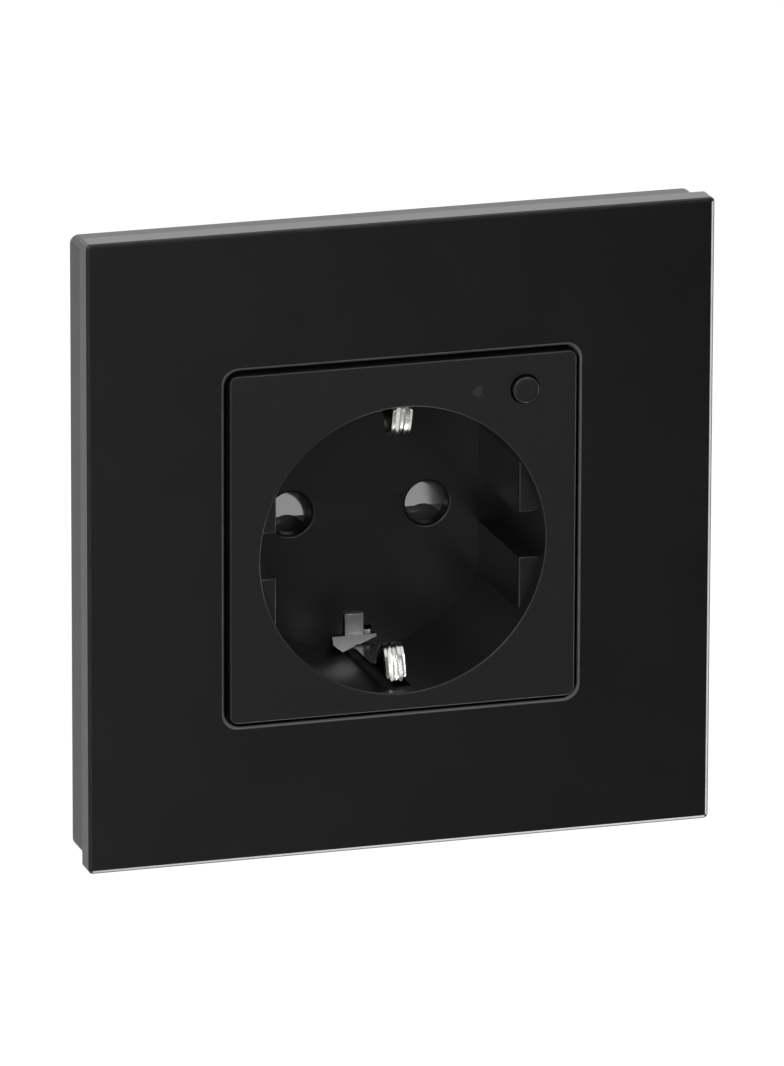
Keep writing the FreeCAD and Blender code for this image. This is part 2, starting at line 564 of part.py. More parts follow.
coil = body("transformer")
add(coil, "XZ", "board_front - 3", "board_front - 0.05", ("rect", "-6", "6", "-18.4", "-8.4", "0.5"))
add(coil, "XZ", "board_front - 9", "board_front - 2.99", ("circle", "0", "-13.4", "4.2"))
add(coil, "XZ", "board_front - 11.5", "board_front - 8.99", ("rect", "-5.6", "5.6", "-18", "-8.8", "0.5"))

fuse = body("fuse")
add(fuse, "XY", "5.5", "14", ("circle", "14.5", "board_front - 2.2", "1.7"))
add(fuse, "XZ", "board_front - 2.2", "board_front - 0.05",
    ("rect", "14.1", "14.9", "4.4", "5.2"), ("rect", "14.1", "14.9", "14.3", "15.1"))
add(fuse, "XY", "4.4", "15.1", ("circle", "14.5", "board_front - 2.2", "0.4"))

disc = body("varistor")
add(disc, "YZ", "-15.4", "-12", ("circle", "board_front - 5.6", "10", "4.5"))
add(disc, "XZ", "board_front - 5.6", "board_front - 0.05",
    ("rect", "-14.1", "-13.3", "7", "7.8"), ("rect", "-14.1", "-13.3", "12.2", "13"))

radio = body("wireless_module")
add(radio, "XY", "17", "17.8",
    ("rect", "-4.5", "11.5", "holder_back + 0.4", "board_front - 0.05"))
shield = body("wireless_shield")
add(shield, "XY", "17.82", "19.6",
    ("rect", "-2.8", "9.8", "holder_back + 4.4", "board_front - 1.6", "0.6"))

chip = body("metering_chip")
add(chip, "XZ", "board_front - 1.6", "board_front - 0.1", ("rect", "15.4", "19.2", "-5", "0"))
add(chip, "XZ", "board_front - 0.5", "board_front - 0.02",
    *[("rect", "%s" % a, "%s" % b, "%g" % (z - 0.2), "%g" % (z + 0.2))
      for a, b in (("14.5", "15.41"), ("19.19", "20.1")) for z in (-4.4, -3.13, -1.87, -0.6)])

# terminal block with a cage and a screw for each wire
block = body("terminal_block")
add(block, "XZ", "board_back + 0.1", "turret_back - drum_wall - 0.1",
    ("rect", "-14", "14", "-18.2", "-8.6", "0.6"))
for label, x in WAYS:
    cut(block, "XZ", "board_back + 0.9", "turret_back - drum_wall - 0.1",
        ("rect", x + " - 3.4", x + " + 3.4", "-18.2", "-9.6"))
for label, x in WAYS:
    cage = body("terminal_cage_" + label)
    low, high = "board_back + 1.0", "turret_back - drum_wall - 0.9"
    add(cage, "XZ", low, high, ("rect", x + " - 3.2", x + " + 3.2", "-17.4", "-9.8", "0.4"))
    cut(cage, "XY", "-17.4", "-9.8",
        ("rect", x + " - 2.4", x + " + 2.4", low + " + 0.8", high + " - 1.2", "0.4"))
    cut(cage, "XZ", high + " - 1.2", high, ("circle", x, "-13.3", "1.3"))
heads = body("terminal_screws")
add(heads, "XZ", "turret_back - drum_wall - 0.88", "turret_back - 0.3",
    *[("circle", x, "-13.3", "2.1") for label, x in WAYS])
add(heads, "XZ", "board_back + 2.4", "turret_back - drum_wall - 0.87",
    *[("circle", x, "-13.3", "1.25") for label, x in WAYS])
cut(heads, "XZ", "turret_back - 0.9", "turret_back - 0.3",
    *[("rect", x + " - 1.7", x + " + 1.7", "-13.55", "-13.05") for label, x in WAYS])

doc.recompute()
faults = []
for item in doc.Objects:
    if "Invalid" in item.State or "Error" in item.State:
        faults.append("%s is in state %s" % (item.Name, item.State))
for item in made:
    if item.Shape.isNull() or not item.Shape.isValid() or item.Shape.Volume <= 0:
        faults.append("%s has no valid shape" % item.Label)
if faults:
    raise RuntimeError("; ".join(faults))

os.makedirs("parts", exist_ok=True)
for item in made:
    item.Shape.exportStep("parts/%s.step" % item.Label)
    print("%s %.1f mm3" % (item.Label, item.Shape.Volume))
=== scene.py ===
import json
import math

import bmesh
import bpy
from bpy.props import FloatProperty, FloatVectorProperty, PointerProperty
from mathutils import Matrix, Vector


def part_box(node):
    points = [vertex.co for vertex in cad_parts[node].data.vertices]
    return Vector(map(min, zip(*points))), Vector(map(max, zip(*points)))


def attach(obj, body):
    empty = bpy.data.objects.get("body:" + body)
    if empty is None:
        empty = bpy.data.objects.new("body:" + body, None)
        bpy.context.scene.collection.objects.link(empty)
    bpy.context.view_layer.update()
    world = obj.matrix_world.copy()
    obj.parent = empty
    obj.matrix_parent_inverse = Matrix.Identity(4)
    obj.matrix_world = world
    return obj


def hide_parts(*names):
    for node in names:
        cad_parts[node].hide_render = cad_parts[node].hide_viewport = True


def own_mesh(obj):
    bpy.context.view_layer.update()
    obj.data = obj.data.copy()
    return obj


bl_info = {
    "name": "Smart wall socket",
    "version": (1, 0, 0),
    "blender": (4, 5, 0),
    "location": "View3D > Sidebar > Socket",
    "description": "Models and finishes a flush smart wall socket round its CAD frame",
    "category": "Add Mesh",
}

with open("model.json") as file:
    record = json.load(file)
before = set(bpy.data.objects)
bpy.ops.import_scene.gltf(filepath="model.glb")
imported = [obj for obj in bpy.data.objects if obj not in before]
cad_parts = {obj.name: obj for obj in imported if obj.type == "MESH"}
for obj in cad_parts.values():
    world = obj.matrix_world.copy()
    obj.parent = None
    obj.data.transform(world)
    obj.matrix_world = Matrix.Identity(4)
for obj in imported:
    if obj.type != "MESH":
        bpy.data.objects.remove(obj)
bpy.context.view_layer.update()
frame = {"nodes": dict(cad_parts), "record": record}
MM = 0.001
MOUNTS = {m["name"]: m for m in frame["record"]["mounts"]}
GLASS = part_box("glass_panel")
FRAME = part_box("frame_carrier")
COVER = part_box("socket_cover")
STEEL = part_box("mounting_plate")
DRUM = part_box("rear_housing")
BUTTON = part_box("button_cap")
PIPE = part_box("light_pipe")
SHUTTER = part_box("shutter")
PIN = Vector(MOUNTS["pin_hole_right"]["pos_m"])
AXIS_Z = PIN.z


def hexed(text):
    """An sRGB hex colour as linear RGBA."""
    parts = [int(text[i:i + 2], 16) / 255 for i in (0, 2, 4)]
    return tuple(c / 12.92 if c <= 0.04045 else ((c + 0.055) / 1.055) ** 2.4 for c in parts) + (1.0,)


# ---------------------------------------------------------------- sizes and colours a user may change

def length(name, what, size):
    return FloatProperty(name=name, description=what, default=size, unit="LENGTH")


def paint(name, what, hex_colour):
    return FloatVectorProperty(
        name=name, description=what, subtype="COLOR", size=3, default=hexed(hex_colour)[:3], min=0, max=1)


class SocketSizes(bpy.types.PropertyGroup):
    window: length("Glass window", "Width of the square window in the glass", 48.8 * MM)
    window_corner: length("Window corner", "Corner radius of the window", 2.2 * MM)
    glass_chamfer: length("Glass chamfer", "Ground chamfer round the front of the glass", 0.3 * MM)
    cover_corner: length("Cover corner", "Corner radius of the square cover", 1.1 * MM)
    recess_radius: length("Recess radius", "Radius of the round recess", 19.85 * MM)
    recess_depth: length(
        "Recess depth", "From the front of the cover to the floor of the recess", 20.3 * MM)
    recess_round: length("Recess rim", "Rounding of the rim of the recess", 0.25 * MM)
    guide_side: length(
        "Guide face", "From the axis of the recess to the inner face of a guide block", 16.7 * MM)
    guide_set: length(
        "Guide set back", "From the front of the cover to the front of a guide block", 2.5 * MM)
    guide_gap: length("Guide gap", "Gap between the two guide blocks on one side", 6.1 * MM)
    pin_radius: length("Pin hole", "Radius of a pin hole", 3.0 * MM)
    pin_lead: length("Pin hole lead-in", "Rounding of the mouth of a pin hole", 0.4 * MM)
    slot_top: length("Upper slot", "Half the width of the slot behind the upper earth clip", 4.1 * MM)
    slot_bottom: length("Lower slot", "Half the width of the slot behind the lower earth clip", 1.9 * MM)
    button_radius: length("Button bore", "Radius of the bore for the push button", 2.0 * MM)
    lamp_radius: length("Light bore", "Radius of the bore for the status light", 0.75 * MM)
    clip_width: length("Clip width", "Width of an earth clip", 3.0 * MM)


class SocketColours(bpy.types.PropertyGroup):
    glass: paint("Glass paint", "Paint behind the glass", "0e0e0e")
    plastic: paint("Front plastic", "Moulded cover, button and frame", "121212")
    drum: paint("Drum plastic", "Moulded drum behind the wall", "303033")


class StageSettings(bpy.types.PropertyGroup):
    azimuth: FloatProperty(
        name="Azimuth", description="Camera angle to the left of straight on",
        default=math.radians(17.01), subtype="ANGLE")
    elevation: FloatProperty(
        name="Elevation", description="Camera angle above the horizon",
        default=math.radians(16.63), subtype="ANGLE")
    roll: FloatProperty(
        name="Roll", description="Turn of the camera about its own axis",
        default=math.radians(0.19), subtype="ANGLE")
    distance: FloatProperty(
        name="Distance", description="From the camera to the middle of the glass",
        default=1.5705, unit="LENGTH")
    lens: FloatProperty(
        name="Lens", description="Focal length in millimetres on a 36 mm sensor", default=402.5)
    aside: FloatProperty(
        name="Aside", description="Camera moved sideways", default=-1.435 * MM, unit="LENGTH")
    lift: FloatProperty(
        name="Lift", description="Camera moved up", default=0.506 * MM, unit="LENGTH")
    drop: FloatProperty(
        name="Floor drop", description="From the socket down to the floor", default=1.3, unit="LENGTH")
    card: FloatProperty(
        name="Card", description="Width of the grey card that the glass reflects", default=3.2, unit="LENGTH")
    sky: FloatProperty(name="Room light", description="Strength of the white room", default=1.12)


def sizes():
    return bpy.context.scene.socket_sizes


def colours():
    return bpy.context.scene.socket_colours


# ---------------------------------------------------------------- modelling helpers

def pick(obj):
    """Only obj is selected, and it is the active one."""
    bpy.ops.object.select_all(action="DESELECT")
    obj.select_set(True)
    bpy.context.view_layer.objects.active = obj
    return obj


def settle(obj):
    """The object's place goes into its mesh."""
    pick(obj)
    bpy.ops.object.transform_apply(location=True, rotation=True, scale=True)
    return obj


def cube(name, low, high):
    """A box between two corners, as the start of a piece."""
    low, high = Vector(low), Vector(high)
    bpy.ops.object.select_all(action="DESELECT")
    bpy.ops.mesh.primitive_cube_add(size=1, location=(low + high) / 2)
    obj = bpy.context.active_object
    obj.name = obj.data.name = name
    obj.scale = high - low
    return settle(obj)


def rod(name, x, z, r, near, far, sides=96):
    """A cylinder along Y, as the start of a piece or as a cutter."""
    bpy.ops.object.select_all(action="DESELECT")
    bpy.ops.mesh.primitive_cylinder_add(
        vertices=sides, radius=r, depth=far - near, location=(x, (near + far) / 2, z),
        rotation=(math.pi / 2, 0, 0))
    obj = bpy.context.active_object
    obj.name = obj.data.name = name
    return settle(obj)


def mark(obj, test, kind="EDGE"):
    """Opens obj for editing with only the edges or faces that pass the test selected."""
    pick(obj)
    bpy.ops.object.mode_set(mode="EDIT")
    bpy.ops.mesh.select_mode(type=kind)
    bpy.ops.mesh.select_all(action="DESELECT")
    mesh = bmesh.from_edit_mesh(obj.data)
    for item in mesh.edges if kind == "EDGE" else mesh.faces:
        item.select_set(test(item))
    bmesh.update_edit_mesh(obj.data)


def done():
    bpy.ops.object.mode_set(mode="OBJECT")


def bevel(obj, test, width, segments=3, profile=0.5):
    """Rounds the edges that pass the test."""
    mark(obj, test)
    bpy.ops.mesh.bevel(offset=width, offset_type="OFFSET", segments=segments, profile=profile,
                       affect="EDGES", clamp_overlap=False)
    done()


def both(edge, test):
    """True when both ends of an edge pass the test."""
    return all(test(v.co) for v in edge.verts)


def near(a, b, slack=1e-5):
    return abs(a - b) < slack


def carve(obj, cutter, operation="DIFFERENCE"):
    """Cuts or joins with another solid and applies it."""
    pick(obj)
    modifier = obj.modifiers.new("carve", "BOOLEAN")
    modifier.operation = operation
    modifier.solver = "EXACT"
    modifier.object = cutter
    bpy.ops.object.modifier_apply(modifier=modifier.name)
    bpy.data.objects.remove(cutter)
    return obj


def revolve(name, profile, x, z, steps=96):
    """A closed outline of (radius, y) points spun round a line along Y."""
    bpy.ops.object.select_all(action="DESELECT")
    bpy.ops.mesh.primitive_plane_add(size=1)
    obj = bpy.context.active_object
    obj.name = obj.data.name = name
    bpy.ops.object.mode_set(mode="EDIT")
    bpy.ops.mesh.delete(type="VERT")
    mesh = bmesh.from_edit_mesh(obj.data)
    corners = [mesh.verts.new((x + r, y, z)) for r, y in profile]
    for a, b in zip(corners, corners[1:] + corners[:1]):
        mesh.edges.new((a, b)).select_set(True)
    bmesh.update_edit_mesh(obj.data)
    bpy.ops.mesh.select_all(action="SELECT")
    bpy.ops.mesh.spin(steps=steps, angle=math.tau, center=(x, 0, z), axis=(0, 1, 0))
    bpy.ops.mesh.select_all(action="SELECT")
    bpy.ops.mesh.remove_doubles(threshold=1e-6)
    bpy.ops.mesh.select_all(action="SELECT")
    bpy.ops.mesh.normals_make_consistent(inside=False)
    bpy.ops.object.mode_set(mode="OBJECT")
    obj.location = (0, 0, 0)
    return settle(obj)


def bore(name, x, z, r, mouth, end, lip, foot=0.0, steps=96):
    """A cutter for a round hole whose mouth is rounded outwards by lip, and its far corner inwards by foot."""
    over = 0.02 * lip
    profile = [(0.0, mouth - MM), (r + lip, mouth - MM)]
    for step in range(6):
        turn = step / 5 * math.pi / 2
        profile.append((r + lip - lip * math.sin(turn), mouth - over + lip * (1 - math.cos(turn))))
    if foot:
        for step in range(5):
            turn = step / 4 * math.pi / 2
            profile.append((r - foot + foot * math.cos(turn), end - foot + foot * math.sin(turn)))
    else:
        profile.append((r, end))
    return revolve(name, profile + [(0.0, end)], x, z, steps)


def flare(cutter, steps):
    """Draws the front of a square cutter forwards in steps of (distance, growth in width)."""
    half = max(v.co.x for v in cutter.data.vertices)
    front = min(v.co.y for v in cutter.data.vertices)
    mark(cutter, lambda f: f.normal.y < -0.9, "FACE")
    for ahead, wider in steps:
        bpy.ops.mesh.extrude_region_move(TRANSFORM_OT_translate={"value": (0, -ahead, 0)})
        k = (half + wider) / half
        bpy.ops.transform.resize(value=(k, 1, k), center_override=(0, 0, 0))
        half += wider
    done()
    return cutter


def upright(edge):
    """True for an edge that runs straight back."""
    a, b = (v.co for v in edge.verts)
    return near(a.x, b.x) and near(a.z, b.z)


def at_depth(y):
    """A test for the edges round the outline at one depth."""
    return lambda e: both(e, lambda p: near(p.y, y)) and abs(e.calc_face_angle(0)) > 0.5


def smooth(obj, angle=32):
    """Smooth shading that keeps flat faces flat."""
    pick(obj)
    bpy.ops.object.shade_smooth_by_angle(angle=math.radians(angle))
    weighted = obj.modifiers.new("weighted", "WEIGHTED_NORMAL")
    weighted.keep_sharp = True
    bpy.ops.object.modifier_apply(modifier=weighted.name)
    return obj


def seat(obj, body, slot, material, *nodes, angle=32):
    """A finished piece takes its material, rides on its body and stands for its CAD nodes."""
    smooth(obj, angle)
    obj.data.materials.clear()
    obj.data.materials.append(material)
    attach(obj, body)
    if nodes:
        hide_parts(*nodes)
    return obj


# ---------------------------------------------------------------- materials

def node(tree, kind, inputs=(), **settings):
    """Adds a node, sets its options and fills or links its inputs."""
    made = tree.nodes.new(kind)
    for name, value in settings.items():
        setattr(made, name, value)
    for key, value in dict(inputs).items():
        if isinstance(value, bpy.types.NodeSocket):
            tree.links.new(value, made.inputs[key])
        else:
            made.inputs[key].default_value = value
    return made


def start(name):
    """A new material with only a Principled shader, its output and Object coordinates."""
    material = bpy.data.materials.new(name)
    material.use_nodes = True
    tree = material.node_tree
    tree.nodes.clear()
    shader = node(tree, "ShaderNodeBsdfPrincipled")
    node(tree, "ShaderNodeOutputMaterial", {"Surface": shader.outputs[0]})
    where = node(tree, "ShaderNodeTexCoord").outputs["Object"]
    return material, tree, shader, where


def scaled(colour, k):
    return tuple(c * k for c in colour[:3]) + (1.0,)


def moulded(name, colour, roughness, grain_mm=0.09, grain_deep=0.0022, spread=0.06, gloss=0.5):
    """Injection-moulded plastic: an even colour, and the fine spark-eroded grain of the mould."""
    material, tree, shader, where = start(name)
    shader.inputs["IOR"].default_value = 1.5
    shader.inputs["Specular IOR Level"].default_value = gloss
    cloud = node(tree, "ShaderNodeTexNoise", {"Vector": where, "Scale": 1 / (6 * MM), "Detail": 3})
    tint = node(tree, "ShaderNodeValToRGB", {"Fac": cloud.outputs[0]})
    tint.color_ramp.elements[0].position, tint.color_ramp.elements[1].position = 0.3, 0.7
    tint.color_ramp.elements[0].color = scaled(colour, 0.93)
    tint.color_ramp.elements[1].color = scaled(colour, 1.07)
    tree.links.new(tint.outputs[0], shader.inputs["Base Color"])
    grain = node(tree, "ShaderNodeTexNoise", {"Vector": where, "Scale": 1 / (grain_mm * MM), "Detail": 2})
    matt = node(tree, "ShaderNodeMapRange",
                {"Value": grain.outputs[0], "To Min": roughness - spread, "To Max": roughness + spread})
    tree.links.new(matt.outputs[0], shader.inputs["Roughness"])
    relief = node(tree, "ShaderNodeBump", {"Height": grain.outputs[0], "Distance": grain_deep * MM})
    tree.links.new(relief.outputs[0], shader.inputs["Normal"])
    return material


def plated(name, hex_colour, roughness, streak_mm=0.05, along="X", painted_shade_from=None):
    """Plated or bare sheet metal: bright, with fine rolling lines one way and a few dull patches.
    Behind a given depth its colour is blended into dark grey as painted shade."""
    material, tree, shader, where = start(name)
    shader.inputs["Metallic"].default_value = 1.0
    stretch = {"X": (0.03, 1, 1), "Y": (1, 0.03, 1), "Z": (1, 1, 0.03)}[along]
    turned = node(tree, "ShaderNodeMapping", {"Vector": where, "Scale": stretch})
    lines = node(tree, "ShaderNodeTexNoise",
                 {"Vector": turned.outputs[0], "Scale": 1 / (streak_mm * MM), "Detail": 3})
    cloud = node(tree, "ShaderNodeTexNoise", {"Vector": where, "Scale": 1 / (2.5 * MM), "Detail": 3})
    metal, dull = hexed(hex_colour), scaled(hexed(hex_colour), 0.86)
    tint = node(tree, "ShaderNodeValToRGB", {"Fac": cloud.outputs[0]})
    tint.color_ramp.elements[0].position, tint.color_ramp.elements[1].position = 0.3, 0.7
    tint.color_ramp.elements[0].color, tint.color_ramp.elements[1].color = dull, metal
    tree.links.new(tint.outputs[0], shader.inputs["Base Color"])
    # painted shade: from the given depth back, the metal colour is mixed into the dark grey 3a3936
    if painted_shade_from is not None:
        split = node(tree, "ShaderNodeSeparateXYZ", {"Vector": where})
        share = node(tree, "ShaderNodeMapRange",
                     {"Value": split.outputs["Y"], "From Min": painted_shade_from, "From Max": painted_shade_from + MM})
        painted_shade = node(tree, "ShaderNodeMix", {0: share.outputs[0], 6: tint.outputs[0], 7: hexed("3a3936")},
                    data_type="RGBA")
        tree.links.new(painted_shade.outputs[2], shader.inputs["Base Color"])
    matt = node(tree, "ShaderNodeMapRange",
                {"Value": lines.outputs[0], "To Min": roughness * 0.6, "To Max": roughness * 1.5})
    tree.links.new(matt.outputs[0], shader.inputs["Roughness"])
    relief = node(tree, "ShaderNodeBump", {"Height": lines.outputs[0], "Distance": 0.004 * MM})
    tree.links.new(relief.outputs[0], shader.inputs["Normal"])
    return material


def clear_skin(name, low, high, size_mm, ior, roughness):
    """A deep glossy surface whose colour and gloss wander a little over size_mm."""
    material, tree, shader, where = start(name)
    shader.inputs["IOR"].default_value = ior
    cloud = node(tree, "ShaderNodeTexNoise", {"Vector": where, "Scale": 1 / (size_mm * MM), "Detail": 3})
    tint = node(tree, "ShaderNodeValToRGB", {"Fac": cloud.outputs[0]})
    tint.color_ramp.elements[0].position, tint.color_ramp.elements[1].position = 0.3, 0.7
    tint.color_ramp.elements[0].color, tint.color_ramp.elements[1].color = low, high
    tree.links.new(tint.outputs[0], shader.inputs["Base Color"])
    gloss = node(tree, "ShaderNodeMapRange",
                 {"Value": cloud.outputs[0], "To Min": roughness * 0.7, "To Max": roughness * 1.3})
    tree.links.new(gloss.outputs[0], shader.inputs["Roughness"])
    return material


def painted_glass():
    # Float glass with black paint fired on the back: deep gloss, and a faint cloud in the paint.
    paint = tuple(colours().glass) + (1.0,)
    return clear_skin("back_painted_glass", scaled(paint, 0.85), scaled(paint, 1.2), 14, 1.52, 0.06)


def ground_edge():
    # The ground and polished edge of the glass: glossy, a little lighter than the face.
    return clear_skin("ground_glass_edge", hexed("161616"), hexed("1c1c1c"), 3, 1.52, 0.14)


def window_edge():
    # The ground chamfer of the window, left unpolished: a pale satin line between glass and cover.
    return clear_skin("ground_window_edge", hexed("3c3c3c"), hexed("484848"), 1.5, 1.52, 0.4)


def smoked_pipe():
    # Smoked clear polycarbonate: nearly black from outside, with a moulded skin.
    return clear_skin("smoked_polycarbonate", hexed("121212"), hexed("181818"), 0.6, 1.5, 0.4)


def circuit_board(name, mask_hex, trace_hex):
    # Glass-epoxy board under solder mask: copper tracks show through as a lighter net of lines.
    material, tree, shader, where = start(name)
    cells = node(tree, "ShaderNodeTexVoronoi", {"Vector": where, "Scale": 1 / (2.4 * MM)}, distance="CHEBYCHEV")
    rings = node(tree, "ShaderNodeMath", {0: cells.outputs[0], 1: 9.0}, operation="MULTIPLY")
    wave = node(tree, "ShaderNodeMath", {0: rings.outputs[0]}, operation="SINE")
    tint = node(tree, "ShaderNodeValToRGB", {"Fac": wave.outputs[0]})
    tint.color_ramp.elements[0].position, tint.color_ramp.elements[1].position = 0.45, 0.6
    tint.color_ramp.elements[0].color, tint.color_ramp.elements[1].color = hexed(mask_hex), hexed(trace_hex)
    tree.links.new(tint.outputs[0], shader.inputs["Base Color"])
    shader.inputs["Roughness"].default_value = 0.3
    relief = node(tree, "ShaderNodeBump", {"Height": wave.outputs[0], "Distance": 0.02 * MM})
    tree.links.new(relief.outputs[0], shader.inputs["Normal"])
    return material


def shrink_sleeve():
    # PVC sleeve shrunk on a can, with the light stripe that marks the negative side.
    material, tree, shader, where = start("shrink_sleeve")
    split = node(tree, "ShaderNodeSeparateXYZ", {"Vector": where})
    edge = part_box("smoothing_capacitor")[0].x + 1.2 * MM
    side = node(tree, "ShaderNodeMath", {0: split.outputs["X"], 1: edge}, operation="LESS_THAN")
    tint = node(tree, "ShaderNodeValToRGB", {"Fac": side.outputs[0]})
    tint.color_ramp.elements[0].color, tint.color_ramp.elements[1].color = hexed("15161c"), hexed("b9bcc2")
    tree.links.new(tint.outputs[0], shader.inputs["Base Color"])
    wrinkle = node(tree, "ShaderNodeTexNoise", {"Vector": where, "Scale": 1 / (1.4 * MM)})
    gloss = node(tree, "ShaderNodeMapRange", {"Value": wrinkle.outputs[0], "To Min": 0.2, "To Max": 0.34})
    tree.links.new(gloss.outputs[0], shader.inputs["Roughness"])
    return material


def taped_core():
    # Ferrite halves wrapped in yellow polyester tape, whose turns show as fine edges.
    material, tree, shader, where = start("taped_ferrite")
    split = node(tree, "ShaderNodeSeparateXYZ", {"Vector": where})
    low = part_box("transformer")[0].y
    inside = node(tree, "ShaderNodeMapRange",
                  {"Value": split.outputs["Y"], "From Min": low + 2.4 * MM, "From Max": low + 2.6 * MM})
    tint = node(tree, "ShaderNodeValToRGB", {"Fac": inside.outputs[0]})
    tint.color_ramp.elements[0].color, tint.color_ramp.elements[1].color = hexed("2c2c2e"), hexed("c9a83a")
    tree.links.new(tint.outputs[0], shader.inputs["Base Color"])
    turns = node(tree, "ShaderNodeTexWave", {"Vector": where, "Scale": 400}, bands_direction="Y")
    gloss = node(tree, "ShaderNodeMapRange", {"Value": turns.outputs[0], "To Min": 0.25, "To Max": 0.45})
    tree.links.new(gloss.outputs[0], shader.inputs["Roughness"])
    relief = node(tree, "ShaderNodeBump", {"Height": turns.outputs[0], "Distance": 0.03 * MM})
    tree.links.new(relief.outputs[0], shader.inputs["Normal"])
    return material


def foam():
    # Closed-cell PE foam tape: matt, with small cells.
    material, tree, shader, where = start("foam_tape")
    shader.inputs["Roughness"].default_value = 0.9
    cells = node(tree, "ShaderNodeTexVoronoi", {"Vector": where, "Scale": 1 / (0.25 * MM)})
    tint = node(tree, "ShaderNodeValToRGB", {"Fac": cells.outputs[0]})
    tint.color_ramp.elements[0].color, tint.color_ramp.elements[1].color = hexed("161617"), hexed("29292b")
    tree.links.new(tint.outputs[0], shader.inputs["Base Color"])
    relief = node(tree, "ShaderNodeBump", {"Height": cells.outputs[0], "Distance": 0.06 * MM})
    tree.links.new(relief.outputs[0], shader.inputs["Normal"])
    return material


def matt_paint(name, low_hex, high_hex, reach):
    # Matt studio paper, graded evenly across twice the reach.
    material, tree, shader, where = start(name)
    shader.inputs["Roughness"].default_value = 1.0
    shader.inputs["Specular IOR Level"].default_value = 0.0
    split = node(tree, "ShaderNodeSeparateXYZ", {"Vector": where})
    share = node(tree, "ShaderNodeMapRange",
                 {"Value": split.outputs["X"], "From Min": -reach, "From Max": reach})
    tint = node(tree, "ShaderNodeValToRGB", {"Fac": share.outputs[0]})
    tint.color_ramp.elements[0].color, tint.color_ramp.elements[1].color = hexed(low_hex), hexed(high_hex)
    tree.links.new(tint.outputs[0], shader.inputs["Base Color"])
    return material


# ---------------------------------------------------------------- pieces

class SOCKET_OT_glass(bpy.types.Operator):
    """Glass panel with its ground chamfers and the window"""
    bl_idname = "socket.glass"
    bl_label = "Glass panel"

    def execute(self, context):
        s = sizes()
        low, high = GLASS
        glass = cube("glass_front", low, high)
        bevel(glass, upright, 0.6 * MM, 8)
        bevel(glass, at_depth(high.y), 0.12 * MM, 1)
        bevel(glass, at_depth(low.y), s.glass_chamfer, 1)
        # a narrow polished facet where the face meets the chamfer
        bevel(glass, at_depth(low.y), 0.16 * MM, 1)
        half = s.window / 2
        hole = cube("hole", (-half, low.y + 0.2 * MM, -half), (half, high.y + MM, half))
        bevel(hole, upright, s.window_corner, 12)
        # the ground edge of the window: 45 degrees, then a narrow facet at 22.5 degrees
        flare(hole, ((0.13 * MM, 0.13 * MM), (0.07 * MM, 0.21 * MM), (0.02 * MM, 0.2 * MM), (MM, 0)))
        carve(glass, hole)
        seat(glass, "socket", "glass_black", painted_glass(), "glass_panel", angle=20)
        glass.data.materials.append(ground_edge())
        glass.data.materials.append(window_edge())
        for face in glass.data.polygons:
            inner = max(abs(face.center.x), abs(face.center.z)) < half + MM
            face.material_index = 0 if face.normal.y < -0.99 else 2 if inner and face.normal.y < -0.3 else 1
        return {"FINISHED"}


class SOCKET_OT_frame(bpy.types.Operator):
    """Moulded frame behind the glass, hollow from the back, with ribs and snap tongues"""
    bl_idname = "socket.frame"
    bl_label = "Moulded frame"

    def execute(self, context):
        s = sizes()
        low, high = FRAME
        wall, face = 2.0 * MM, 1.8 * MM
        part = cube("frame_moulding", low, high)
        bevel(part, upright, 1.2 * MM, 6)
        bevel(part, at_depth(high.y), 0.35 * MM, 3)
        bevel(part, at_depth(low.y), 0.25 * MM, 3)
        hollow = cube("hollow", (low.x + wall, low.y + face, low.z + wall),
                      (high.x - wall, high.y + MM, high.z - wall))
        bevel(hollow, upright, 1.0 * MM, 5)
        half = s.window / 2 + 0.1 * MM
        rim = half + 1.5 * MM
        keep = cube("keep", (-rim, low.y, -rim), (rim, high.y - 2.9 * MM, rim))
        bevel(keep, upright, 2.0 * MM, 6)
        carve(hollow, keep)
        carve(part, hollow)
        window = cube("window", (-half, low.y - MM, -half), (half, high.y + MM, half))
        bevel(window, upright, s.window_corner, 8)
        carve(part, window)
        # stiffening ribs inside the rim and the tongues that reach through the steel plate
        edge, inner = high.x - wall + 0.1 * MM, STEEL[1].x + 0.3 * MM
        for turn in range(4):
            for place in (-24, -8, 8, 24):
                a, b = Vector((inner, place * MM - 0.4 * MM)), Vector((edge, place * MM + 0.4 * MM))
                spots = []
                for u, v in (a, b):
                    spots.append({0: (u, v), 1: (-v, u), 2: (-u, -v), 3: (v, -u)}[turn])
                xs = sorted(p[0] for p in spots)
                zs = sorted(p[1] for p in spots)
                rib = cube("rib", (xs[0], low.y + face - 0.05 * MM, zs[0]), (xs[1], high.y - 1.4 * MM, zs[1]))
                carve(part, rib, "UNION")
        for x in (-1, 1):
            for z in (-1, 1):
                xs = sorted((x * 33.0 * MM, x * 34.1 * MM))
                zs = sorted((z * 16 * MM, z * 20 * MM))
                tongue = cube("tongue", (xs[0], low.y + face - 0.05 * MM, zs[0]), (xs[1], -0.2 * MM, zs[1]))
                bevel(tongue, lambda e: both(e, lambda p: near(p.y, -0.2 * MM)), 0.25 * MM, 2)
                carve(part, tongue, "UNION")
        seat(part, "socket", "frame_plastic", moulded("frame_moulded_abs", colours().plastic, 0.3, gloss=0.42),
             "frame_carrier")
        return {"FINISHED"}


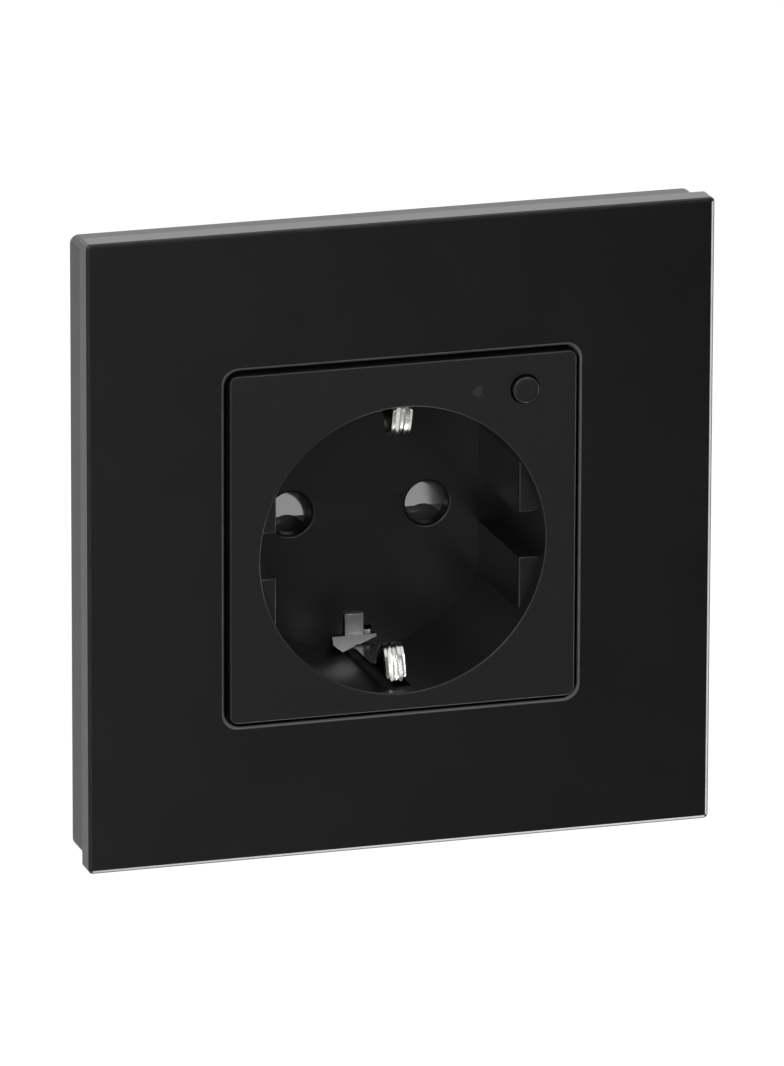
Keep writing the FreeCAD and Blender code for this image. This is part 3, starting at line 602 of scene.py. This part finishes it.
class SOCKET_OT_cover(bpy.types.Operator):
    """Square cover with the round recess, guide blocks, pin holes, earth slots and bores"""
    bl_idname = "socket.cover"
    bl_label = "Socket cover"

    def guide(self, sx, sz, front, floor):
        """One guide block: a slice of the recess with rounded front edges."""
        s = sizes()
        reach = s.recess_radius + 0.7 * MM
        block = rod("block", 0, AXIS_Z, reach, front + s.guide_set, floor + 0.3 * MM, 128)
        far = 30 * MM
        inner = cube("inner", (-far if sx > 0 else -s.guide_side, -far, -far),
                     (s.guide_side if sx > 0 else far, far, far))
        carve(block, inner)
        gap = s.guide_gap / 2
        between = cube("between", (-far, -far, -far if sz > 0 else AXIS_Z - gap),
                       (far, far, AXIS_Z + gap if sz > 0 else far))
        carve(block, between)
        outer = lambda p: (p.x ** 2 + (p.z - AXIS_Z) ** 2) ** 0.5 > reach - 0.02 * MM
        lead = lambda e: (both(e, lambda p: near(p.y, front + s.guide_set))
                          and both(e, lambda p: (p.x ** 2 + (p.z - AXIS_Z) ** 2) ** 0.5 < reach - 0.1 * MM
                                   or near(abs(p.x), s.guide_side) or near(abs(p.z - AXIS_Z), gap))
                          and not both(e, outer))
        bevel(block, lead, 0.25 * MM, 3)
        return block

    def execute(self, context):
        s = sizes()
        front = COVER[0].y
        floor = front + s.recess_depth
        half = COVER[1].x
        back = STEEL[0].y
        cover = cube("socket_front", (-half, front, -half), (half, back, half))
        bevel(cover, upright, s.cover_corner, 8)
        bevel(cover, at_depth(front), 0.2 * MM, 4)
        skirt = half - 1.5 * MM
        room = cube("room", (-skirt, front + 2 * MM, -skirt), (skirt, back + MM, skirt))
        bevel(room, upright, 0.8 * MM, 4)
        carve(cover, room)
        cup = rod("cup", 0, AXIS_Z, s.recess_radius + 1.5 * MM, front + 1.9 * MM, floor + 2 * MM, 160)
        carve(cover, cup, "UNION")
        carve(cover, bore("recess", 0, AXIS_Z, s.recess_radius - s.recess_round, front, floor,
                          s.recess_round, steps=160))
        for sx in (-1, 1):
            for sz in (-1, 1):
                carve(cover, self.guide(sx, sz, front, floor), "UNION")
        beyond = floor + 4 * MM
        for side in (-1, 1):
            carve(cover, bore("pin", side * PIN.x, AXIS_Z, s.pin_radius, floor, beyond, s.pin_lead, steps=64))
            # the slot in the wall behind the clip, then the hole in the floor for the leg of the foot
            slot = s.slot_top if side > 0 else s.slot_bottom
            wall = sorted(AXIS_Z + side * (s.recess_radius + out) for out in (-1.45 * MM, 1.05 * MM))
            behind = front + 2.5 * MM
            carve(cover, cube("slot", (-slot, behind, wall[0]), (slot, floor - 0.02 * MM, wall[1])))
            well = sorted(AXIS_Z + side * (s.recess_radius + out) for out in (-3.55 * MM, -1.75 * MM))
            carve(cover, cube("well", (-1.7 * MM, floor - MM, well[0]), (1.7 * MM, beyond, well[1])))
        centre = (BUTTON[0] + BUTTON[1]) / 2
        through = front + 3 * MM
        carve(cover, bore("press", centre.x, centre.z, s.button_radius, front, through, 0.12 * MM, steps=64))
        lamp = (PIPE[0] + PIPE[1]) / 2
        carve(cover, bore("lamp", lamp.x, lamp.z, s.lamp_radius, front, through, 0.1 * MM, steps=40))
        seat(cover, "socket", "cover_plastic", moulded("cover_moulded_pc", colours().plastic, 0.3, gloss=0.38),
             "socket_cover")
        return {"FINISHED"}


class SOCKET_OT_button(bpy.types.Operator):
    """Round push button with a shallow dish, a rounded edge, its flange and stem"""
    bl_idname = "socket.button"
    bl_label = "Push button"

    def execute(self, context):
        low, high = BUTTON
        centre = (low + high) / 2
        cap, flange = 1.8 * MM, (high.x - low.x) / 2
        plate = COVER[0].y + 2.2 * MM
        edge = 0.2 * MM
        profile = [(0.0, low.y + 0.05 * MM), (cap * 0.5, low.y + 0.03 * MM), (cap - edge, low.y)]
        for step in range(1, 5):
            turn = step / 4 * math.pi / 2
            profile.append((cap - edge + edge * math.sin(turn), low.y + edge * (1 - math.cos(turn))))
        profile += [(cap, plate), (flange, plate), (flange, plate + 0.8 * MM), (1.1 * MM, plate + 0.8 * MM),
                    (1.1 * MM, high.y), (0.0, high.y)]
        cap_piece = revolve("push_button", profile, centre.x, centre.z, 64)
        seat(cap_piece, "button", "button_plastic",
             moulded("button_moulded_pc", colours().plastic, 0.26, grain_deep=0.0012), "button_cap")
        return {"FINISHED"}


def strip(name, path, width, thick, grooves, middle):
    """A bent strip of sheet along a path of (y, z) points, with grooves pressed along it."""
    across, round_end = 32, 0.7 * MM
    front, rear = sorted((path[0], path[-1]))
    bpy.ops.object.select_all(action="DESELECT")
    bpy.ops.mesh.primitive_grid_add(x_subdivisions=across, y_subdivisions=len(path) - 1, size=1)
    obj = bpy.context.active_object
    obj.name = obj.data.name = name
    for v in obj.data.vertices:
        row = round((v.co.y + 0.5) * (len(path) - 1))
        here = Vector(path[row])
        ahead = Vector(path[min(row + 1, len(path) - 1)]) - Vector(path[max(row - 1, 0)])
        out = Vector((-ahead.y, ahead.x)).normalized()
        share = (v.co.x + 0.5)
        # the grooves are pressed only into the bow, and run out behind it
        along = (Vector(path[row]) - Vector(front)).length
        pressed = min(1, max(0, 6.2 - along / MM))
        dip = sum(math.exp(-((share - g) / 0.055) ** 2) for g in grooves) * 0.3 * MM * pressed
        crown = 0.15 * MM * (2 * share - 1) ** 4 * pressed
        y, z = here - out * (dip + crown)
        # both ends of the strip have rounded corners
        inset = min(along, (Vector(path[row]) - Vector(rear)).length)
        short = round_end - math.sqrt(round_end ** 2 - max(0, round_end - inset) ** 2)
        v.co = (middle + (width - 2 * short) * (share - 0.5), y, z)
    obj.location = (0, 0, 0)
    settle(obj)
    solid = obj.modifiers.new("thickness", "SOLIDIFY")
    solid.thickness = thick
    solid.offset = -1
    bpy.ops.object.modifier_apply(modifier=solid.name)
    pick(obj)
    bpy.ops.object.mode_set(mode="EDIT")
    bpy.ops.mesh.select_all(action="SELECT")
    bpy.ops.mesh.normals_make_consistent(inside=False)
    bpy.ops.object.mode_set(mode="OBJECT")
    return obj


def curve_through(points, steps=8):
    """A smooth line through a few (y, z) points (Catmull-Rom)."""
    line = []
    ends = [points[0]] + list(points) + [points[-1]]
    for k in range(len(points) - 1):
        a, b, c, d = (Vector(ends[k + i]) for i in range(4))
        for step in range(steps):
            t = step / steps
            line.append(tuple(0.5 * (2 * b + (c - a) * t + (2 * a - 5 * b + 4 * c - d) * t * t
                                     + (3 * b - a - 3 * c + d) * t ** 3)))
    line.append(tuple(points[-1]))
    return line


class SOCKET_OT_earth(bpy.types.Operator):
    """Earth clips with pressed grooves, and the bent feet that hold them to the floor"""
    bl_idname = "socket.earth"
    bl_label = "Earth clips"

    def foot(self, label, side, floor):
        """A tab on the floor, a flap bent forwards from its lower end, and the leg through the floor."""
        s = sizes()
        z = lambda inset: AXIS_Z + side * (s.recess_radius - inset * MM)
        node_low, node_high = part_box("earth_foot_" + label)
        middle = (node_low.x + node_high.x) / 2
        thick = 0.45 * MM
        flap = cube("flap_" + label, (-3.1 * MM, -thick, -2.4 * MM), (3.1 * MM, 0, -0.05 * MM))
        # two slanted cuts take off its lower left corner and leave it narrow at the right
        for point, normal in (((-3.1 * MM, 0, -1.3 * MM), (-1.1, 0, -1.2)),
                              ((3.1 * MM, 0, -0.5 * MM), (0.38, 0, -1))):
            mark(flap, lambda f: True, "FACE")
            bpy.ops.mesh.bisect(plane_co=point, plane_no=normal, use_fill=True, clear_outer=True)
            done()
        flap.rotation_euler = (math.radians(-40), 0, 0)
        settle(flap)
        if side > 0:
            flap.scale = (1, 1, -1)
            settle(flap)
            mark(flap, lambda f: True, "FACE")
            bpy.ops.mesh.normals_make_consistent(inside=False)
            done()
        flap.location = (middle, floor - 0.14 * MM, z(2.2))
        settle(flap)
        tab = sorted((z(5.4), z(1.7)))
        carve(flap, cube("tab", (middle - 1.3 * MM, floor - 0.58 * MM, tab[0]),
                         (middle + 1.3 * MM, floor - 0.03 * MM, tab[1])), "UNION")
        leg = sorted((z(3.05), z(2.35)))
        near_end, far_end = floor - 0.4 * MM, node_high.y
        carve(flap, cube("leg", (-1.5 * MM, near_end, leg[0]), (1.5 * MM, far_end, leg[1])), "UNION")
        bevel(flap, lambda e: abs(e.calc_face_angle(0)) > 0.9 and e.calc_length() > 0.3 * MM, 0.06 * MM, 2)
        return flap

    def execute(self, context):
        s = sizes()
        front = COVER[0].y
        floor = front + s.recess_depth
        # plain plating on the bow; behind it the colour is darkened as painted shade for the deep slot the rear
        # of the clip stands in
        clip_metal_with_painted_shade = plated("nickel_clip_with_painted_shade", "dcdbd8", 0.2, 0.12, along="Y", painted_shade_from=front + 6.1 * MM)
        foot_metal = plated("nickel_plated_foot", "a3a3a2", 0.3, 0.15, along="X")
        for label, side in (("top", 1), ("bottom", -1)):
            knots = ((front + 3.45 * MM, 0.95), (front + 3.85 * MM, 2.4), (front + 4.4 * MM, 4.0),
                     (front + 5.2 * MM, 4.88), (front + 6.0 * MM, 4.6), (front + 6.8 * MM, 3.3),
                     (front + 7.7 * MM, 1.85), (front + 9.5 * MM, 1.15), (floor - 1.95 * MM, 1.1))
            path = curve_through([(y, AXIS_Z + side * (s.recess_radius - z * MM)) for y, z in knots])
            low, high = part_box("earth_clip_" + label)
            clip = strip("earth_spring_" + label, path if side > 0 else path[::-1], s.clip_width, 0.45 * MM,
                         (0.34, 0.7), (low.x + high.x) / 2)
            seat(clip, "clip_" + label, "clip_nickel", clip_metal_with_painted_shade, "earth_clip_" + label)
            seat(self.foot(label, side, floor), "socket", "clip_nickel", foot_metal, "earth_foot_" + label)
        return {"FINISHED"}


class SOCKET_OT_shutter(bpy.types.Operator):
    """Shutter that closes both pin holes, with a polished ramp in front of each pin"""
    bl_idname = "socket.shutter"
    bl_label = "Shutter"

    def execute(self, context):
        low, high = SHUTTER
        plate = cube("shutter_slide", low, high)
        bevel(plate, upright, 0.8 * MM, 4)
        for side in (-1, 1):
            x = side * PIN.x
            # a ramp that falls back towards the top of the hole, with an arched lower lip
            foot = AXIS_Z - 0.9 * MM
            ramp = cube("ramp", (x - 3.3 * MM, low.y - 2 * MM, foot), (x + 3.3 * MM, low.y, high.z + 2 * MM))
            ramp.location = (0, -low.y, -foot)
            settle(ramp)
            ramp.rotation_euler = (math.radians(-16), 0, 0)
            settle(ramp)
            ramp.location = (0, low.y + 0.02 * MM, foot)
            settle(ramp)
            carve(plate, ramp)
            arch = rod("arch", x, AXIS_Z - 3.4 * MM, 2.7 * MM, low.y - MM, low.y + 1.75 * MM, 64)
            carve(plate, arch)
        seat(plate, "shutter", "shutter_grey",
             moulded("shutter_gloss_pom", hexed("3a3a3c"), 0.12, grain_deep=0.0006, spread=0.03), "shutter")
        return {"FINISHED"}


class SOCKET_OT_spring(bpy.types.Operator):
    """Coil spring under the shutter, which the shutter presses shorter as it slides down; here it is built at
    one length
    """
    bl_idname = "socket.spring"
    bl_label = "Shutter spring"

    def execute(self, context):
        low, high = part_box("shutter_spring")
        wire, turns, travel = 0.11 * MM, 8, 6.8 * MM
        coil = (high.x - low.x) / 2 - wire
        bpy.ops.object.select_all(action="DESELECT")
        bpy.ops.mesh.primitive_circle_add(
            vertices=10, radius=wire, location=(coil, 0, 0), rotation=(math.pi / 2, 0, 0))
        spring = context.active_object
        spring.name = spring.data.name = "spring_coil"
        settle(spring)
        screw = spring.modifiers.new("screw", "SCREW")
        screw.angle, screw.steps, screw.render_steps = turns * math.tau, turns * 20, turns * 20
        screw.screw_offset = high.z - low.z - 2 * wire
        bpy.ops.object.modifier_apply(modifier=screw.name)
        mark(spring, lambda e: e.is_boundary)
        bpy.ops.mesh.fill_holes(sides=0)
        bpy.ops.mesh.select_all(action="SELECT")
        bpy.ops.mesh.normals_make_consistent(inside=False)
        done()
        spring.location = ((low.x + high.x) / 2, (low.y + high.y) / 2, low.z + wire)
        settle(spring)
        seat(spring, "socket", "spring_steel", plated("drawn_spring_wire", "b4b4b2", 0.25, 0.04, along="Z"),
             "shutter_spring")
        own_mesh(spring)
        return {"FINISHED"}


class SOCKET_OT_drum(bpy.types.Operator):
    """Drum for the wall box with its turret, screw wells, ribs and wire entries"""
    bl_idname = "socket.drum"
    bl_label = "Drum"

    def execute(self, context):
        r = DRUM[1].x
        back, wall = DRUM[1].y, 1.6 * MM
        shoulder, bend = back - 6.3 * MM, 1.2 * MM
        profile = [(r - wall, 0.0), (r - 0.3 * MM, 0.0), (r, 0.3 * MM), (r, shoulder - bend)]
        for step in range(1, 5):
            turn = step / 4 * math.pi / 2
            profile.append((r - bend + bend * math.cos(turn), shoulder - bend + bend * math.sin(turn)))
        profile += [(0.0, shoulder), (0.0, shoulder - wall), (r - wall, shoulder - wall)]
        drum = revolve("wall_box_drum", profile, 0, 0, 128)
        turret = cube("turret", (-18 * MM, shoulder - 0.4 * MM, -20 * MM), (18 * MM, back, 16 * MM))
        bevel(turret, upright, 2.5 * MM, 6)
        bevel(turret, lambda e: both(e, lambda p: near(p.y, back)), 0.8 * MM, 3)
        carve(drum, turret, "UNION")
        inside = cube("inside",
                      (-16.4 * MM, shoulder - wall - MM, -18.4 * MM), (16.4 * MM, back - wall, 14.4 * MM))
        bevel(inside, upright, 1.5 * MM, 4)
        carve(drum, inside)
        for x in (-9, 0, 9):
            mouth = MOUNTS["wire_entry_earth"]["pos_m"]
            entry = rod("entry", x * MM, 0, 2 * MM, -5 * MM, 5 * MM, 40)
            entry.rotation_euler = (math.pi / 2, 0, 0)
            settle(entry)
            entry.location = (0, mouth[1], mouth[2])
            settle(entry)
            carve(drum, entry)
            carve(drum, rod("well", x * MM, -13.3 * MM, 2.3 * MM, back - 3 * MM, back + MM, 48))
        # four bosses for the plate screws, and grip ribs down the drum
        for turn in range(4):
            a = turn * math.pi / 2
            x, z = 25.9 * MM * math.cos(a), 25.9 * MM * math.sin(a)
            carve(drum, rod("boss", x, z, 1.5 * MM, 0.05 * MM, 8 * MM, 32), "UNION")
            carve(drum, rod("pilot", x, z, 0.9 * MM, -MM, 7.5 * MM, 24))
        for turn in range(24):
            a = (turn + 0.5) / 24 * math.tau
            groove = rod("groove", (r + 0.35 * MM) * math.cos(a), (r + 0.35 * MM) * math.sin(a), 0.75 * MM,
                         6 * MM, shoulder - 5 * MM, 20)
            carve(drum, groove)
        for z in (4, 7, 10):
            vent = cube("vent",
                        (-11 * MM, back - 0.7 * MM, (z - 0.6) * MM), (11 * MM, back + MM, (z + 0.6) * MM))
            bevel(vent, upright, 0.55 * MM, 4)
            carve(drum, vent)
        seat(drum, "socket", "drum_plastic",
             moulded("drum_moulded_pa", colours().drum, 0.5, grain_mm=0.16, grain_deep=0.005), "rear_housing")
        return {"FINISHED"}


class SOCKET_OT_finishes(bpy.types.Operator):
    """Materials for the CAD nodes that are shown as they are"""
    bl_idname = "socket.finishes"
    bl_label = "Other finishes"

    def execute(self, context):
        brass = plated("stamped_brass", "c9a45c", 0.3, 0.1, along="Y")
        screw = plated("zinc_plated_screw", "b9bbbd", 0.3, 0.06, along="X")
        block = moulded("light_grey_pbt", hexed("c9c8c2"), 0.5)
        board = circuit_board("board_green_mask", "0d3b22", "1a5c38")
        given = {
            "panel_tape": foam(),
            "mounting_plate": plated("zinc_plated_steel", "aeb2b6", 0.34, 0.25, along="Z"),
            "plate_screws": screw, "carrier_screws": screw, "terminal_screws": screw,
            "tact_plunger": moulded("plunger_black_pom", hexed("1a1a1c"), 0.4),
            "tact_switch": moulded("switch_black_lcp", hexed("202124"), 0.5),
            "light_pipe": smoked_pipe(),
            "status_led": moulded("led_ceramic_white", hexed("d8d4c4"), 0.3, grain_mm=0.05),
            "front_board": board, "main_board": board,
            "board_header": plated("gold_flash_pins", "d9b45a", 0.22, 0.05, along="Y"),
            "earth_strap": brass, "live_contact": brass, "neutral_contact": brass,
            "contact_carrier": block, "terminal_block": block,
            "relay": moulded("relay_case_pbt", hexed("18181a"), 0.42, grain_mm=0.12, grain_deep=0.004),
            "smoothing_capacitor": shrink_sleeve(),
            "film_capacitor": moulded("film_box_yellow", hexed("cfa52a"), 0.3),
            "transformer": taped_core(),
            "fuse": moulded("fuse_ceramic_cream", hexed("d9d2bd"), 0.25, grain_mm=0.2),
            "varistor": moulded("varistor_epoxy_blue", hexed("21489a"), 0.22, grain_mm=0.6, grain_deep=0.02),
            "wireless_module": circuit_board("board_dark_mask", "10182b", "22304f"),
            "wireless_shield": plated("tinned_shield", "c4c6c6", 0.28, 0.12, along="X"),
            "metering_chip": moulded("chip_black_epoxy", hexed("161616"), 0.6, grain_mm=0.06),
            "terminal_cage_live": brass, "terminal_cage_earth": brass, "terminal_cage_neutral": brass,
        }
        for name, material in given.items():
            mesh = frame["nodes"][name].data
            mesh.materials.clear()
            mesh.materials.append(material)
        return {"FINISHED"}


class SOCKET_OT_stage(bpy.types.Operator):
    """Pale floor, white room, soft lamps, a grey card before the glass, and the camera"""
    bl_idname = "socket.stage"
    bl_label = "Stage"

    def execute(self, context):
        st = context.scene.socket_stage
        bpy.ops.object.select_all(action="DESELECT")
        bpy.ops.mesh.primitive_plane_add(size=24, location=(0, 0, GLASS[0].z - st.drop))
        floor = context.active_object
        floor.name = "floor"
        floor.data.materials.append(matt_paint("floor_paper", "f6f6f5", "fbfbfa", 12))

        a, e = st.azimuth, st.elevation
        forward = Vector((math.sin(a) * math.cos(e), math.cos(a) * math.cos(e), -math.sin(e)))
        right = Vector((math.cos(a), -math.sin(a), 0))
        up = right.cross(forward)
        mirrored = Vector((forward.x, -forward.y, forward.z))
        bpy.ops.object.select_all(action="DESELECT")
        bpy.ops.mesh.primitive_plane_add(size=st.card, location=mirrored * 1.45)
        card = context.active_object
        card.name = "grey_card"
        card.rotation_euler = (-mirrored).to_track_quat("Z", "Y").to_euler()
        card.data.materials.append(matt_paint("grey_card_paper", "505050", "8c8c8c", 0.12))
        card.visible_camera = False
        # grey flags that the left side of the frame and the left chamfers reflect
        for name, place, tone in (("back_flag", (-0.42, 1.37, -0.43), "bcbcbc"),
                                  ("left_flag", (-1.3, -0.4, -0.41), "6c6c6c")):
            bpy.ops.object.select_all(action="DESELECT")
            bpy.ops.mesh.primitive_plane_add(size=0.9, location=place)
            flag = context.active_object
            flag.name = name
            flag.rotation_euler = (-Vector(place)).to_track_quat("Z", "Y").to_euler()
            flag.data.materials.append(matt_paint(name + "_paper", tone, "c0c0c0", 1.2))
            flag.visible_camera = False

        world = bpy.data.worlds.new("white_room")
        context.scene.world = world
        world.use_nodes = True
        world.node_tree.nodes["Background"].inputs[0].default_value = (1, 1, 1, 1)
        world.node_tree.nodes["Background"].inputs[1].default_value = st.sky

        # key from the upper left, one into the recess, one on its rim, and a strip along each of the
        # right and lower glass edges
        for name, place, width, height, watts in (("key_softbox", (-0.85, -1.7, 0.85), 0.7, 0.7, 9),
                                                  ("front_softbox", (0.34, -1.12, 0.26), 0.35, 0.35, 2.3),
                                                  ("rim_softbox", (-0.35, -1.24, -0.38), 0.25, 0.4, 1.5),
                                                  ("right_strip", (1.27, -0.675, -0.43), 0.2, 0.6, 5),
                                                  ("lower_strip", (0.38, -0.6, -1.15), 0.5, 0.2, 4)):
            bpy.ops.object.light_add(type="AREA", location=place)
            lamp = context.active_object
            lamp.name = name
            lamp.data.shape = "RECTANGLE"
            lamp.data.size, lamp.data.size_y = width, height
            lamp.data.energy = watts
            lamp.rotation_euler = (-Vector(place)).to_track_quat("-Z", "Y").to_euler()

        bpy.ops.object.camera_add()
        camera = context.active_object
        camera.data.lens = st.lens
        camera.data.sensor_width = 36
        camera.data.clip_start, camera.data.clip_end = 0.05, 60
        middle = Vector((0, -10 * MM, 0))
        camera.location = middle - forward * st.distance + right * st.aside + up * st.lift
        level, turn = math.cos(st.roll), math.sin(st.roll)
        across, upwards = right * level + up * turn, up * level - right * turn
        camera.rotation_euler = Matrix((across, upwards, -forward)).transposed().to_euler()
        context.scene.camera = camera
        context.scene.view_settings.view_transform = "Standard"
        return {"FINISHED"}


class SOCKET_PT_panel(bpy.types.Panel):
    """Buttons for each piece and the values they use"""
    bl_label = "Smart wall socket"
    bl_space_type = "VIEW_3D"
    bl_region_type = "UI"
    bl_category = "Socket"

    def draw(self, context):
        for operator in OPERATORS:
            self.layout.operator(operator.bl_idname)
        for group in (context.scene.socket_sizes, context.scene.socket_colours, context.scene.socket_stage):
            box = self.layout.box()
            for name in group.__annotations__:
                box.prop(group, name)


GROUPS = {"socket_sizes": SocketSizes, "socket_colours": SocketColours, "socket_stage": StageSettings}
OPERATORS = (SOCKET_OT_glass, SOCKET_OT_frame, SOCKET_OT_cover, SOCKET_OT_button, SOCKET_OT_earth,
             SOCKET_OT_shutter, SOCKET_OT_spring, SOCKET_OT_drum, SOCKET_OT_finishes, SOCKET_OT_stage)


def register():
    for name, group in GROUPS.items():
        bpy.utils.register_class(group)
        setattr(bpy.types.Scene, name, PointerProperty(type=group))
    for item in OPERATORS + (SOCKET_PT_panel,):
        bpy.utils.register_class(item)


def unregister():
    for item in reversed(OPERATORS + (SOCKET_PT_panel,)):
        bpy.utils.unregister_class(item)
    for name, group in GROUPS.items():
        delattr(bpy.types.Scene, name)
        bpy.utils.unregister_class(group)


def main():
    register()
    for operator in OPERATORS:
        module, name = operator.bl_idname.split(".")
        getattr(getattr(bpy.ops, module), name)()


if __name__ == "__main__":
    main()
